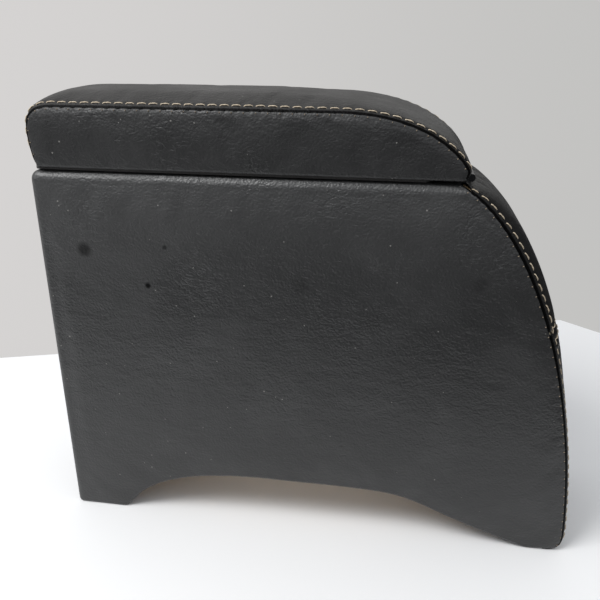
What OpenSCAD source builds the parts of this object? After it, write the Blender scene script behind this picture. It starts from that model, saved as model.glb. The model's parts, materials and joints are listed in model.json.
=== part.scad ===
// Car centre armrest: a wrapped plywood box on a tunnel arch, with a padded lid
// hinged at its curved rear. Millimetres, +Z up, front towards -X, left side towards -Y.

/* [Body] */
// Width over the side covers
body_w = 96; // [90:1:130]
// Height of the box, to the top of its padded edge
body_h = 235; // [215:1:250]
// Height of the tunnel arch over the ground
arch_h = 33.9; // [22:0.1:34]
// Where the arch begins, from the front face
arch_start = 36.5; // [30:0.5:50]
// Distance from the arch's rear end to the rear of the body
arch_rear_in = 23; // [21.5:0.5:38.5]
// Corner radius of the wrapped vertical front edges
front_edge_r = 4.5; // [3:0.5:10]
// Radius of the padded roll along the top edge
top_roll_r = 5.5; // [5:0.5:9]

/* [Wall layers] */
// Leatherette cover thickness
cover_t = 1.2; // [0.8:0.1:1.6]
// Foam thickness on the flat sides
pad_t = 3; // [2:0.5:4]
// Plywood thickness of the box boards
board_t = 9; // [6:1:12]
// Thickness of the bent rear board
rear_board_t = 4; // [3:0.5:5]
// Felt thickness of the liner and the mat
felt_t = 2; // [1:0.5:3]

/* [Floor] */
// Height of the floor board's underside over the ground
floor_z = 46; // [44:1:70]
// Hole spacing of the mounting bolts along the box
bolt_spacing_x = 160; // [100:5:200]
// Hole spacing of the mounting bolts across the box
bolt_spacing_y = 40; // [30:1:44]
// Diameter of a mounting hole
bolt_hole_d = 6.4; // [4:0.1:8]
// Diameter of the washer hole in the mat
mat_hole_d = 16; // [12:1:20]
// Width and height of a floor batten
batten_w = 9; // [6:1:12]

/* [Padding] */
// Rise of the lid padding at mid width, over the seam
lid_crown = 6; // [3:0.1:8]
// Rise of the rear padding at mid width, over the seam
rear_crown = 7; // [3:0.1:8]
// Height of the cross seam in the rear cover
cross_seam_z = 152.8; // [120:0.1:170]

/* [Lid] */
// Length of the lid along its seam outline
lid_l = 245.2; // [236:0.1:250]
// Height of the lid's seam outline
lid_h = 34.2; // [30:0.1:42]
// Gap between the box and the lid
lid_gap = 2; // [1.8:0.1:3]
// Plywood thickness of the lid board
lid_board_t = 8; // [6:1:10]
// Thickness of the lining board under the lid
lining_t = 1.4; // [1:0.1:1.6]

/* [Hinge] */
// Length of the hinge
hinge_l = 63; // [45:1:66]
// Number of knuckles
knuckle_n = 9; // [5:2:13]
// Outer diameter of a knuckle
knuckle_d = 4.4; // [4:0.1:4.6]
// Diameter of the hinge pin
pin_d = 2; // [1.6:0.1:2.4]
// Thickness of a hinge leaf
leaf_t = 0.8; // [0.6:0.1:0.9]
// Width of a hinge leaf, to the pin
leaf_w = 20; // [16:0.5:24]
// Shank diameter of a hinge screw
screw_d = 2.9; // [2.4:0.1:3.2]
// Number of screws in a leaf
screw_n = 4; // [2:1:5]

/* [Hidden] */

// Clearances
seat = 0.1;
pin_clear = 0.05;
knuckle_gap = 0.3;
cut = 1;

// Colours
leatherette = [0.09, 0.09, 0.09];
plywood = [0.78, 0.62, 0.42];
foam = [0.72, 0.71, 0.66];
felt = [0.13, 0.13, 0.14];
steel = [0.72, 0.73, 0.75];
fibreboard = [0.12, 0.11, 0.11];

// Levels and lines worked out from the sizes above
skin_t = cover_t + seat;
wall_in = cover_t + pad_t;
board_in = wall_in + board_t;
half_w = body_w / 2;
board_half_w = half_w - wall_in;
box_half_w = half_w - board_in;
front_board_x = wall_in;
box_x = front_board_x + board_t;
rail_top = body_h - skin_t;
body_leaf_z = body_h;
lid_z = body_h + lid_gap;
axis_z = (body_leaf_z + leaf_t + lid_z - leaf_t) / 2;
lid_front_x = 2.7;
lid_rear_x = lid_front_x + lid_l;
axis_x = lid_rear_x + 2.9;
lid_board_z = lid_z + skin_t;
floor_top = floor_z + board_t;
lid_seam_z = lid_z + lid_h;
rail_x = axis_x - leaf_w - 8;
rail_z = rail_top - 17;
strip_half_w = half_w - 0.6;
front_corner_r = 5;
foot_z = 16;
rear_x = 328.5;
foot_x = rear_x - 11;
arch_end = rear_x - arch_rear_in;
// Long enough to cut through the whole body
reach = rear_x + 71.5;
// From the middle of a screw to the free edge of its leaf
screw_in = 4.5;
arch_mid_x = 151.5;

// Curves
function bez(p, t) = pow(1 - t, 3) * p[0] + 3 * pow(1 - t, 2) * t * p[1]
    + 3 * (1 - t) * t * t * p[2] + t * t * t * p[3];
function bez_dir(p, t) = let (d = 3 * pow(1 - t, 2) * (p[1] - p[0])
    + 6 * (1 - t) * t * (p[2] - p[1]) + 3 * t * t * (p[3] - p[2])) d / norm(d);
// Points of a curve moved to its left by d
function bez_off(p, n, d, t0 = 0, t1 = 1) = [for (i = [0 : n])
    let (t = t0 + (t1 - t0) * i / n, v = bez_dir(p, t)) bez(p, t) + d * [-v.y, v.x]];
function arc(c, r, a0, a1, n) = [for (i = [0 : n])
    let (a = a0 + (a1 - a0) * i / n) [c.x + r * cos(a), c.y + r * sin(a)]];
function reversed(list) = [for (i = [len(list) - 1 : -1 : 0]) list[i]];
function rounded_rect(x0, y0, x1, y1, r, n = 6) = concat(
    arc([x1 - r, y1 - r], r, 0, 90, n), arc([x0 + r, y1 - r], r, 90, 180, n),
    arc([x0 + r, y0 + r], r, 180, 270, n), arc([x1 - r, y0 + r], r, 270, 360, n));

// Side view of the body: arch, rear curve and rear foot
arch_front = [[arch_start, 0], [arch_start + 14, 18.5], [arch_start + 34, arch_h + 2.7],
    [arch_mid_x, arch_h]];
arch_rear = [[arch_mid_x, arch_h], [arch_end - 52, arch_h], [arch_end - 96, arch_h - 2.9],
    [arch_end, 0]];
rear_curve = [[axis_x - 5.8, body_h], [axis_x + 32.2, body_h - 20.6],
    [rear_x - 7.7, foot_z + 113.4], [rear_x, foot_z]];
rear_foot = [[rear_x, foot_z], [rear_x + 0.9, foot_z - 11], [rear_x - 0.5, 0], [foot_x, 0]];
tangent = bez_dir(rear_curve, 0);

// Outline of the body, drawn in by inset all round but by rear at the rear curve
function body_outline(inset, rear) = let (
    corner = max(front_corner_r - inset, 0.5),
    arch_pts = concat(bez_off(arch_front, 10, inset), bez_off(arch_rear, 14, inset, 1 / 14)),
    rear_pts = reversed(concat(bez_off(rear_curve, 14, -rear),
        bez_off(rear_foot, 8, -rear, 1 / 8))),
    top = rear_pts[len(rear_pts) - 1],
    rise = body_h - inset - top.y)
    concat(arc([inset + corner, inset + corner], corner, 180, 270, 4),
        [for (p = arch_pts) [p.x, max(p.y, inset)]],
        [for (p = rear_pts) [p.x, max(p.y, inset)]],
        rise > 0.01 ? [[top.x + rise * tangent.x / tangent.y, body_h - inset]] : [],
        arc([inset + corner, body_h - inset - corner], corner, 90, 180, 4));

// A flat piece across the box, drawn in side view, from y0 to y1
module slab(y0, y1) {
    translate([0, y1, 0])
        rotate([90, 0, 0])
            linear_extrude(y1 - y0)
                children();
}

// The body's outer form drawn in by inset, with its rolled top and rounded front edges
module body_form(inset, rear) {
    far = rear_x + 20;
    intersection() {
        slab(-half_w + inset, half_w - inset)
            polygon(body_outline(inset, rear));
        translate([0, 0, -cut])
            linear_extrude(body_h + 2 * cut)
                polygon(rounded_rect(inset, -half_w + inset, far, half_w - inset,
                    front_edge_r - inset));
        translate([-cut, 0, 0])
            rotate([90, 0, 90])
                linear_extrude(far + 2 * cut)
                    polygon(rounded_rect(-half_w + inset, -20, half_w - inset,
                        body_h - inset, top_roll_r - inset));
    }
}

// Mirrors a left piece for the right side
module on_right() {
    mirror([0, 1, 0])
        children();
}

// Space between the side boards, from x0 back
module between_boards(x0, half) {
    translate([x0, -half, -cut])
        cube([reach, 2 * half, 2 * body_h]);
}

// Boards
module side_board() {
    color(plywood)
        intersection() {
            slab(-board_half_w, -box_half_w)
                polygon(body_outline(skin_t, rear_board_t));
            translate([front_board_x, -half_w, -cut])
                cube([reach, body_w, body_h + 2 * cut]);
        }
}

module side_board_left() {
    side_board();
}

module side_board_right() {
    on_right()
        side_board();
}

module front_board() {
    color(plywood)
        translate([front_board_x, -box_half_w, skin_t])
            cube([board_t, 2 * box_half_w, rail_top - skin_t]);
}

module rear_board() {
    color(plywood)
        intersection() {
            slab(-board_half_w, board_half_w)
                polygon(concat([rear_curve[0]], [for (k = [1 : upper_n]) upper_path[k][0]],
                    [for (q = lower_path) if (q[0].y > foot_z - 12) q[0]],
                    reversed(bez_off(rear_foot, 4, -rear_board_t, 0.1, 0.5)),
                    reversed(bez_off(rear_curve, 24, -rear_board_t))));
            translate([0, -half_w, 0])
                cube([reach, body_w, rail_top]);
        }
}

// The space inside the rear board
module inside_rear(y0, y1, gap) {
    slab(y0, y1)
        polygon(concat([[0, body_h], [0, skin_t]],
            reversed(concat(bez_off(rear_curve, 24, -rear_board_t - gap),
                bez_off(rear_foot, 8, -rear_board_t - gap, 1 / 8, 0.8)))));
}

module bolt_holes(d, z0, h) {
    middle = (box_x + rear_x) / 2;
    for (x = [-1, 1], y = [-1, 1])
        translate([middle + x * bolt_spacing_x / 2, y * bolt_spacing_y / 2, z0])
            cylinder(h = h, d = d, $fn = 48);
}

module floor_board() {
    color(plywood)
        difference() {
            intersection() {
                translate([box_x, -box_half_w, floor_z])
                    cube([reach, 2 * box_half_w, board_t]);
                inside_rear(-box_half_w, box_half_w, seat);
            }
            bolt_holes(bolt_hole_d, floor_z - cut, board_t + 2 * cut);
        }
}

block_w = 15;
module floor_batten() {
    color(plywood)
        translate([box_x + block_w, -box_half_w, floor_z - batten_w])
            cube([rear_x - rear_board_t - 2 * block_w - box_x - 6, batten_w, batten_w]);
}

module floor_batten_left() {
    floor_batten();
}

module floor_batten_right() {
    on_right()
        floor_batten();
}

module corner_block_front() {
    color(plywood)
        translate([box_x, -box_half_w, skin_t])
            linear_extrude(floor_z - skin_t)
                polygon([[0, 0], [block_w, 0], [0, block_w]]);
}

module corner_block_front_left() {
    corner_block_front();
}

module corner_block_front_right() {
    on_right()
        corner_block_front();
}

module corner_block_rear() {
    color(plywood)
        intersection() {
            translate([rear_x - rear_board_t - block_w - 6, -box_half_w, skin_t])
                cube([reach, block_w, floor_z - skin_t]);
            inside_rear(-box_half_w, 0, seat);
        }
}

module corner_block_rear_left() {
    corner_block_rear();
}

module corner_block_rear_right() {
    on_right()
        corner_block_rear();
}

// Screw places along a leaf
screw_x = axis_x - leaf_w + screw_in;
function screw_y(i) = (i - (screw_n - 1) / 2) * hinge_l / screw_n;
module at_screws() {
    for (i = [0 : screw_n - 1])
        translate([screw_x, screw_y(i), 0])
            children();
}

rail_screw_l = 12;
lid_screw_l = 7.5;
head_d = 5.6;
module hinge_rail() {
    color(plywood)
        difference() {
            intersection() {
                translate([rail_x, -box_half_w, rail_z])
                    cube([reach, 2 * box_half_w, rail_top - rail_z]);
                inside_rear(-box_half_w, box_half_w, seat);
            }
            at_screws()
                translate([0, 0, rail_top - rail_screw_l])
                    cylinder(h = rail_screw_l + cut, d = screw_d + 2 * pin_clear, $fn = 32);
        }
}

// Padding and cover of the flat sides
module side_foam() {
    color(foam)
        intersection() {
            body_form(skin_t, 0);
            translate([front_board_x + seat, -half_w, 0])
                cube([reach, wall_in, body_h]);
        }
}

module side_foam_left() {
    side_foam();
}

module side_foam_right() {
    on_right()
        side_foam();
}

module front_foam() {
    color(foam)
        intersection() {
            body_form(skin_t, 0);
            translate([0, -half_w, 0])
                cube([front_board_x, body_w, body_h]);
        }
}

module body_cover() {
    color(leatherette)
        difference() {
            body_form(0, 0);
            body_form(cover_t, -20);
            between_boards(box_x, box_half_w);
        }
}

// Padded rear strips
function puff(t, power) = 1 - pow(abs(t), power);
// Cross section stations of a padded strip, from side to side
strip_n = 12;
function strip_t(j) = let (u = 2 * j / strip_n - 1) sign(u) * (1 - pow(1 - abs(u), 1.6));
// Path pieces: points, unit normals and half widths along a curve
function path_of(p, n, t0, t1, half = strip_half_w) = [for (i = [0 : n])
    let (t = t0 + (t1 - t0) * i / n, v = bez_dir(p, t)) [bez(p, t), [-v.y, v.x], half]];
// Where a falling curve passes the height z, by halving
function t_at(p, z, t0 = 0, t1 = 1, n = 20) = let (t = (t0 + t1) / 2)
    n == 0 ? t : bez(p, t).y > z ? t_at(p, z, t, t1, n - 1) : t_at(p, z, t0, t, n - 1);

// A skin through rings of equal length, closed at both ends by the faces in cap
module skin(rings, cap) {
    n = len(rings[0]);
    m = len(rings);
    points = [for (r = rings) each r];
    sides = [for (j = [0 : m - 2], i = [0 : n - 1])
        let (a = j * n + i, b = j * n + (i + 1) % n)
            each [[a, b, b + n], [a, b + n, a + n]]];
    first = [for (f = cap) reversed(f)];
    last = [for (f = cap) [for (i = f) (m - 1) * n + i]];
    polyhedron(points = points, faces = concat(sides, first, last), convexity = 6);
}

// A padded band on a path: from low to high over the path, at each station across
module band(path, low, high, edge = 0) {
    function at(k, t, d) = let (q = path[k][0] + d * path[k][1])
        [q.x, t * (path[k][2] - edge), q.y];
    n = len(path) - 1;
    skin([for (j = [0 : strip_n])
        let (t = strip_t(j))
            concat([for (k = [0 : n]) at(k, t, low(t, k))],
                [for (k = [n : -1 : 0]) at(k, t, high(t, k))])],
        [for (k = [0 : n - 1])
            each [[k, k + 1, 2 * n - k], [k, 2 * n - k, 2 * n + 1 - k]]]);
}

seam_t = t_at(rear_curve, cross_seam_z);
// The strip bends over the rear board's top edge, in the middle of the bend
rail_t = t_at(rear_curve, rail_top);
rail_dir = bez_dir(rear_curve, rail_t);
rail_bend = [-rail_dir.y, 1 + rail_dir.x] / (1 + rail_dir.x);
upper_n = 10;
lower_n = 8;
foot_n = 7;
upper_path = concat([[[rail_x, rail_top], [0, 1], box_half_w - seat],
        [bez(rear_curve, rail_t), rail_bend, box_half_w - seat]],
    path_of(rear_curve, upper_n - 2, 0.05, seam_t - 0.002));
lower_path = concat(path_of(rear_curve, lower_n, seam_t + 0.002, 1),
    path_of(rear_foot, foot_n, 1 / 8, 0.66));
// Share of the full rise along each strip: none at the hem, less at the cross seam and the foot
function upper_swell(k) = let (s = (k - 2) / (upper_n - 2))
    k < 3 ? 0 : min(1, 0.35 + 1.6 * s) - 0.25 * max(0, s - 0.7) / 0.3;
function lower_swell(k) = let (s = k / (lower_n + foot_n))
    (0.45 + 0.3 * max(0, 1 - s / 0.3)) * (1 + min(0, lower_path[k][1].y));
function rear_lift(t, swell) = skin_t + swell * (rear_crown - skin_t) * puff(t, 5);
// The foam follows the cover's facets: the straight line between its stations at t
function facet_lift(t, swell) = let (
    j = max([for (i = [0 : strip_n - 1]) if (strip_t(i) <= t + 0.0001) i]),
    a = strip_t(j), b = strip_t(j + 1), share = (t - a) / (b - a))
    (1 - share) * rear_lift(a, swell) + share * rear_lift(b, swell);

// The upper strip ends in a hem over the hinge rail, under the hinge leaf
module rear_cover_upper() {
    color(leatherette)
        difference() {
            band(upper_path,
                function (t, k) rear_lift(t, upper_swell(k)) - cover_t,
                function (t, k) rear_lift(t, upper_swell(k)));
            at_screws()
                translate([0, 0, rail_top - cut])
                    cylinder(h = 3 * cut, d = screw_d + 2 * pin_clear, $fn = 32);
        }
}

module rear_cover_lower() {
    color(leatherette)
        band(lower_path,
            function (t, k) rear_lift(t, lower_swell(k)) - cover_t,
            function (t, k) rear_lift(t, lower_swell(k)));
}

foam_edge = 5;
module rear_foam_upper() {
    color(foam)
        band([for (k = [3 : upper_n]) upper_path[k]],
            function (t, k) seat / 2,
            function (t, k) facet_lift(t * (1 - foam_edge / strip_half_w), upper_swell(k + 3))
                - cover_t - seat, foam_edge);
}

module rear_foam_lower() {
    color(foam)
        band([for (k = [0 : lower_n + 3]) lower_path[k]],
            function (t, k) seat / 2,
            function (t, k) facet_lift(t * (1 - foam_edge / strip_half_w), lower_swell(k))
                - cover_t - seat, foam_edge);
}

// Felt in the box
module box_liner() {
    color(felt)
        difference() {
            intersection() {
                translate([box_x + seat, -box_half_w + seat, floor_top + seat])
                    cube([reach, 2 * (box_half_w - seat), rail_top - 4 - floor_top]);
                inside_rear(-box_half_w, box_half_w, seat);
            }
            intersection() {
                translate([box_x + seat + felt_t, -box_half_w + seat + felt_t, 0])
                    cube([reach, 2 * (box_half_w - seat - felt_t), body_h]);
                inside_rear(-box_half_w, box_half_w, seat + felt_t);
            }
            translate([rail_x - seat, -half_w, rail_z - seat])
                cube([100, body_w, 60]);
        }
}

module floor_mat() {
    color(felt)
        difference() {
            intersection() {
                translate([box_x + felt_t + 3 * seat, -box_half_w + felt_t + 3 * seat, floor_top])
                    cube([reach, 2 * (box_half_w - felt_t - 3 * seat), felt_t]);
                inside_rear(-box_half_w, box_half_w, felt_t + 3 * seat);
            }
            bolt_holes(mat_hole_d, floor_top - cut, felt_t + 2 * cut);
        }
}

// Hinge
knuckle_l = hinge_l / knuckle_n;
module knuckles(first) {
    for (i = [first : 2 : knuckle_n - 1])
        translate([axis_x, -hinge_l / 2 + (i + 1) * knuckle_l - knuckle_gap / 2, axis_z])
            rotate([90, 0, 0])
                cylinder(h = knuckle_l - knuckle_gap, d = knuckle_d, $fn = 40);
}

module leaf_tabs(first, z0) {
    for (i = [first : 2 : knuckle_n - 1])
        translate([axis_x - knuckle_d, -hinge_l / 2 + i * knuckle_l + knuckle_gap / 2, z0])
            cube([knuckle_d, knuckle_l - knuckle_gap, leaf_t]);
}

module leaf(first, z0) {
    difference() {
        union() {
            translate([axis_x - leaf_w, -hinge_l / 2, z0])
                cube([leaf_w - knuckle_d / 2 - 0.4, hinge_l, leaf_t]);
            leaf_tabs(first, z0);
            knuckles(first);
        }
        translate([axis_x, hinge_l / 2 + cut, axis_z])
            rotate([90, 0, 0])
                cylinder(h = hinge_l + 2 * cut, d = pin_d + 2 * pin_clear, $fn = 40);
        at_screws()
            children();
    }
}

// A countersunk head's cone, wide end up
module head_cone(grow) {
    cylinder(h = leaf_t, d1 = screw_d + 2 * grow, d2 = head_d + 2 * grow, $fn = 32);
}

module hinge_leaf_body() {
    color(steel)
        leaf(0, body_leaf_z)
            translate([0, 0, body_leaf_z])
                head_cone(pin_clear);
}

module hinge_leaf_lid() {
    color(steel)
        leaf(1, lid_z - leaf_t)
            translate([0, 0, lid_z])
                mirror([0, 0, 1])
                    head_cone(pin_clear);
}

module hinge_pin() {
    color(steel)
        translate([axis_x, hinge_l / 2, axis_z])
            rotate([90, 0, 0])
                cylinder(h = hinge_l, d = pin_d, $fn = 40);
}

module hinge_screws_body() {
    color(steel)
        at_screws() {
            translate([0, 0, body_leaf_z])
                head_cone(0);
            translate([0, 0, rail_top - rail_screw_l + 1])
                cylinder(h = rail_screw_l - 1 + body_leaf_z - rail_top + 0.01, d = screw_d, $fn = 32);
        }
}

module hinge_screws_lid() {
    color(steel)
        at_screws() {
            translate([0, 0, lid_z])
                mirror([0, 0, 1])
                    head_cone(0);
            translate([0, 0, lid_z - 0.01])
                cylinder(h = lid_screw_l, d = screw_d, $fn = 32);
        }
}

// Lid outline in side view, from the front bottom over the top to the rear bottom
lid_front = [[lid_front_x + 2.8, lid_z], [lid_front_x + 0.6, lid_z + 9],
    [lid_front_x - 0.2, lid_z + 14], [lid_front_x, lid_z + 20]];
lid_nose = [[lid_front_x, lid_z + 20], [lid_front_x, lid_z + 30],
    [lid_front_x + 4.5, lid_seam_z], [lid_front_x + 17, lid_seam_z]];
lid_top = [[lid_front_x + 17, lid_seam_z], [lid_front_x + 60, lid_seam_z],
    [lid_rear_x - 120, lid_seam_z], [lid_rear_x - 72, lid_seam_z]];
lid_rear = [[lid_rear_x - 72, lid_seam_z], [lid_rear_x - 40, lid_seam_z + 0.6],
    [lid_rear_x - 13, lid_seam_z - 9], [lid_rear_x, lid_z + 6]];
lid_heel = [[lid_rear_x, lid_z + 6], [lid_rear_x + 1.2, lid_z + 2.6],
    [lid_rear_x - 2, lid_z], [lid_rear_x - 6, lid_z]];
lid_main = concat(path_of(lid_front, 3, 0.25, 1), path_of(lid_nose, 6, 1 / 6, 1),
    path_of(lid_top, 6, 1 / 6, 1), path_of(lid_rear, 10, 1 / 10, 1));
lid_outline = concat([lid_front[0]], [for (s = lid_main) s[0]],
    [for (i = [1 : 5]) bez(lid_heel, i / 5)]);

// The top cover's path also turns under the board, where its hems end
hem_half_w = half_w - cover_t - seat;
lid_heel_in = [lid_heel[0], [lid_rear_x + 0.6, lid_z + 3.4], [lid_rear_x - 2, lid_board_z],
    [lid_rear_x - 6, lid_board_z]];
hem_down = [0, -1];
lid_path = concat([[[lid_front_x + 16, lid_board_z], hem_down, hem_half_w],
        [[lid_front_x + 5, lid_board_z], hem_down, hem_half_w]],
    lid_main, path_of(lid_heel_in, 4, 1 / 4, 1, hem_half_w),
    [[[lid_rear_x - 22, lid_board_z], hem_down, hem_half_w]]);
lid_n = len(lid_path) - 1;
// Share of the full rise along the path: rising up the nose, full on top, low at the rear
function lid_swell(k) = let (p = lid_path[k][0],
    up = min(1, max(0, (p.y - lid_z - 6) / (lid_h - 6))),
    front = min(1, max(0, (p.x - lid_front_x) / 60)),
    back = min(1, max(0, (p.x - lid_rear_x + 110) / 90)))
    pow(up, 0.8) * (0.85 + 0.15 * front) * (1 - 0.75 * back);
function lid_lift(t, k) = skin_t + lid_swell(k) * (lid_crown - skin_t) * puff(t, 3.5);

module lid_cover_top() {
    color(leatherette)
        difference() {
            band(lid_path,
                function (t, k) lid_lift(t, k) - cover_t,
                function (t, k) lid_lift(t, k));
            at_screws()
                translate([0, 0, lid_z - cut])
                    cylinder(h = 3 * cut, d = screw_d + 2 * pin_clear, $fn = 32);
        }
}

hem_w = 14;
module lid_side_cover() {
    color(leatherette) {
        slab(-half_w, -half_w + cover_t)
            polygon(lid_outline);
        translate([lid_front_x + 17, -half_w, lid_z])
            cube([lid_l - 40, hem_w, cover_t]);
    }
}

module lid_cover_left() {
    lid_side_cover();
}

module lid_cover_right() {
    on_right()
        lid_side_cover();
}

lid_board_x = lid_front_x + 5;
lid_board_l = lid_l - 12;
module lid_board() {
    color(plywood)
        difference() {
            translate([0, 0, lid_board_z])
                linear_extrude(lid_board_t)
                    polygon(rounded_rect(lid_board_x, -half_w + cover_t + seat,
                        lid_board_x + lid_board_l, half_w - cover_t - seat, 3));
            at_screws()
                translate([0, 0, lid_z - cut])
                    cylinder(h = lid_screw_l + cut + 0.5, d = screw_d + 2 * pin_clear, $fn = 32);
        }
}

module lid_foam() {
    color(foam)
        intersection() {
            skin([for (j = [0 : strip_n])
                let (t = strip_t(j) * 0.98)
                    [for (k = [lid_n - 1 : -1 : 1])
                        let (q = lid_path[k][0]
                            + (lid_lift(t, k) - cover_t - seat) * lid_path[k][1])
                            [q.x, t * hem_half_w, q.y]]],
                [[for (i = [0 : lid_n - 2]) i]]);
            translate([0, -half_w, lid_board_z + lid_board_t])
                cube([reach, body_w, 100]);
        }
}

module lid_lining() {
    color(fibreboard)
        translate([0, 0, lid_z - lining_t])
            linear_extrude(lining_t)
                polygon(rounded_rect(lid_front_x, -half_w + 3, axis_x - leaf_w - 2, half_w - 3, 4));
}

// The model's origin is under the middle of its length
x_front = min([for (k = [0 : lid_n])
    (lid_path[k][0] + lid_lift(0, k) * lid_path[k][1]).x]);
x_back = max([for (k = [0 : len(lower_path) - 1])
    (lower_path[k][0] + rear_lift(0, lower_swell(k)) * lower_path[k][1]).x]);
module placed() {
    translate([-(x_front + x_back) / 2, 0, 0])
        children();
}

placed() side_board_left();
placed() side_board_right();
placed() front_board();
placed() rear_board();
placed() floor_board();
placed() floor_batten_left();
placed() floor_batten_right();
placed() corner_block_front_left();
placed() corner_block_front_right();
placed() corner_block_rear_left();
placed() corner_block_rear_right();
placed() hinge_rail();
placed() side_foam_left();
placed() side_foam_right();
placed() front_foam();
placed() body_cover();
placed() rear_foam_upper();
placed() rear_foam_lower();
placed() rear_cover_upper();
placed() rear_cover_lower();
placed() box_liner();
placed() floor_mat();
placed() hinge_leaf_body();
placed() hinge_leaf_lid();
placed() hinge_pin();
placed() hinge_screws_body();
placed() hinge_screws_lid();
placed() lid_board();
placed() lid_foam();
placed() lid_cover_top();
placed() lid_cover_left();
placed() lid_cover_right();
placed() lid_lining();
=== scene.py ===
"""Car centre armrest: leatherette covers, seams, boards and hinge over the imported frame.

Curves and covers are worked out in millimetres from the front face of the box, as the
part is, and placed in metres. +Z is up, the front is towards -X, the left side towards -Y.
"""
import json
import math
import bpy
import numpy as np
from mathutils import Matrix, Vector
from mathutils.bvhtree import BVHTree


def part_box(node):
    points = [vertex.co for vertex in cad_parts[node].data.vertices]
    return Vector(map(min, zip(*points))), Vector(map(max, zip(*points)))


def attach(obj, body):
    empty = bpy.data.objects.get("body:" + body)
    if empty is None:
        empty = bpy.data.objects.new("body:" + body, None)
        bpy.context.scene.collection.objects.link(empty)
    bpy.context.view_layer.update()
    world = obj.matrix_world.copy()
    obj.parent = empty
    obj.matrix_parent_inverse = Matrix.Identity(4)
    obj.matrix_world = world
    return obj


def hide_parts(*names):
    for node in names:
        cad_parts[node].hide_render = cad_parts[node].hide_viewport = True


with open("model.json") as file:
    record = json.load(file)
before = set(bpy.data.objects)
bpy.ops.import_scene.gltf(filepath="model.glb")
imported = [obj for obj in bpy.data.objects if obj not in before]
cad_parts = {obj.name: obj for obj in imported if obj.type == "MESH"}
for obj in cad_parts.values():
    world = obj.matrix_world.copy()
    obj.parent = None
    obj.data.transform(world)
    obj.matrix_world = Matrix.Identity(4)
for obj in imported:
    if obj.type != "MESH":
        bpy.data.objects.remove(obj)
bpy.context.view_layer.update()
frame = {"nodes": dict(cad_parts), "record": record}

# One millimetre, and the place of the front face, both in metres
MM = 0.001
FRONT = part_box("body_cover")[0][0]


def span(node, axis):
    """Both ends of a node along an axis, in millimetres from the front face."""
    low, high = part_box(node)
    shift = FRONT if axis == 0 else 0
    return (low[axis] - shift) / MM, (high[axis] - shift) / MM


# Sizes that the frame gives
HALF_W = span("body_cover", 1)[1]
BODY_H = span("body_cover", 2)[1]
LID_Z, LID_SEAM_Z = span("lid_cover_left", 2)
AXIS_X = sum(span("hinge_pin", 0)) / 2
RAIL_X = span("hinge_rail", 0)[0]
RAIL_TOP = span("hinge_rail", 2)[1]
BOX_HALF_W = span("hinge_rail", 1)[1]

# Sizes of the part's curves and covers
LID_FRONT_X, LID_REAR_X = 2.7, 247.9
BOX_X = 13.2
CROSS_SEAM_Z = 152.8
FOOT_Z = 16.0
REAR_X, FOOT_X = 328.5, 317.5
ARCH_START, ARCH_MID, ARCH_END, ARCH_H = 36.5, 151.5, 305.5, 33.9
COVER_T = 1.2
FRONT_EDGE_R = 4.5
TOP_ROLL_R = 5.5
HEM_ROLL_R = 2.0
LID_ROLL_R = 1.8

# Seams: the strips roll down into them, the side covers tuck in, and the rear one folds
STRIP_HALF_W = HALF_W - 0.6
SKIN = 1.3
ROLL_DROP, ROLL_W = 0.9, 5.0
TUCK, TUCK_W = 1.7, 2.6
FOLD_DEPTH, FOLD_W = 1.6, 3.2
FAR_FROM_SEAM = 40.0

# Padding: its rise at mid width over the seam, and how far the upper side leans in
LID_RISE = 4.9
HEEL_SWELL = 1.1
REAR_RISE_Z = [0, 8, 16, 46, 100, 125, 148, 160, 205, 227, 231, 235]
REAR_RISE = [0, 0.6, 1.4, 1.8, 1.9, 3.0, 4.8, 5.4, 5.6, 3.0, 0.6, 0]
SHOULDER_H, SHOULDER_LEAN = 40.0, 1.0
# Air under a cover: pressure, slack of the cloth, and how far a point may move
LID_AIR, REAR_AIR = (4.0, 0.003, 0.9), (4.0, 0.003, 0.8)
LID_SIDE_AIR, WRAP_AIR = (3.0, 0.003, 0.7), (2.0, 0.002, 0.9)
AIR_FRAMES = 20

# Stitches: pitch, each row's distance from its seam, and the depth of its dimples
STITCH_PITCH = 6.5
STITCH_IN, STITCH_DIP = 3.0, 0.42
DOT_IN, DOT_DIP = 1.5, 0.3
CROSS_ROW_IN = 3.4
DOT_LENGTH = 0.11

# Steps between the points of a cover, and the least height over the table
ROW_STEP, WRAP_STEP = 2.7, 3.4
OVER_TABLE = 0.15

# Camera, solved from the photograph's outlines
PHOTO_PX = 600
LENS = 39.97
SENSOR = 36.0
CAMERA_AT = Vector((0.044904, -0.40292, 0.31371))
CAMERA_DOWN = math.radians(22.558)
CAMERA_YAW = math.radians(8.3333)
CAMERA_ROLL = math.radians(0.2237)

# Pixels of the photograph on the table's far edge, corner and right edge
TABLE_FAR_PX, TABLE_CORNER_PX, TABLE_SIDE_PX = (0, 358), (560, 320), (600, 333)
# Length, depth and thickness of the table, in metres
TABLE_LONG, TABLE_DEEP, TABLE_THICK = 1.5, 0.62, 0.03
LAMP_AT, LAMP_TARGET = Vector((-0.55, -0.5, 1.05)), Vector((0, 0, 0.2))
LAMP_SIZE, LAMP_POWER = 0.5, 10.3


def camera_axes():
    look = Vector((-math.sin(CAMERA_YAW) * math.cos(CAMERA_DOWN),
                   math.cos(CAMERA_YAW) * math.cos(CAMERA_DOWN), -math.sin(CAMERA_DOWN)))
    level = Vector((math.cos(CAMERA_YAW), math.sin(CAMERA_YAW), 0))
    up = level.cross(look)
    right = level * math.cos(CAMERA_ROLL) + up * math.sin(CAMERA_ROLL)
    top = up * math.cos(CAMERA_ROLL) - level * math.sin(CAMERA_ROLL)
    return right, top, look


def new_object(name, data):
    obj = bpy.data.objects.new(name, data)
    bpy.context.collection.objects.link(obj)
    return obj


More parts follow.
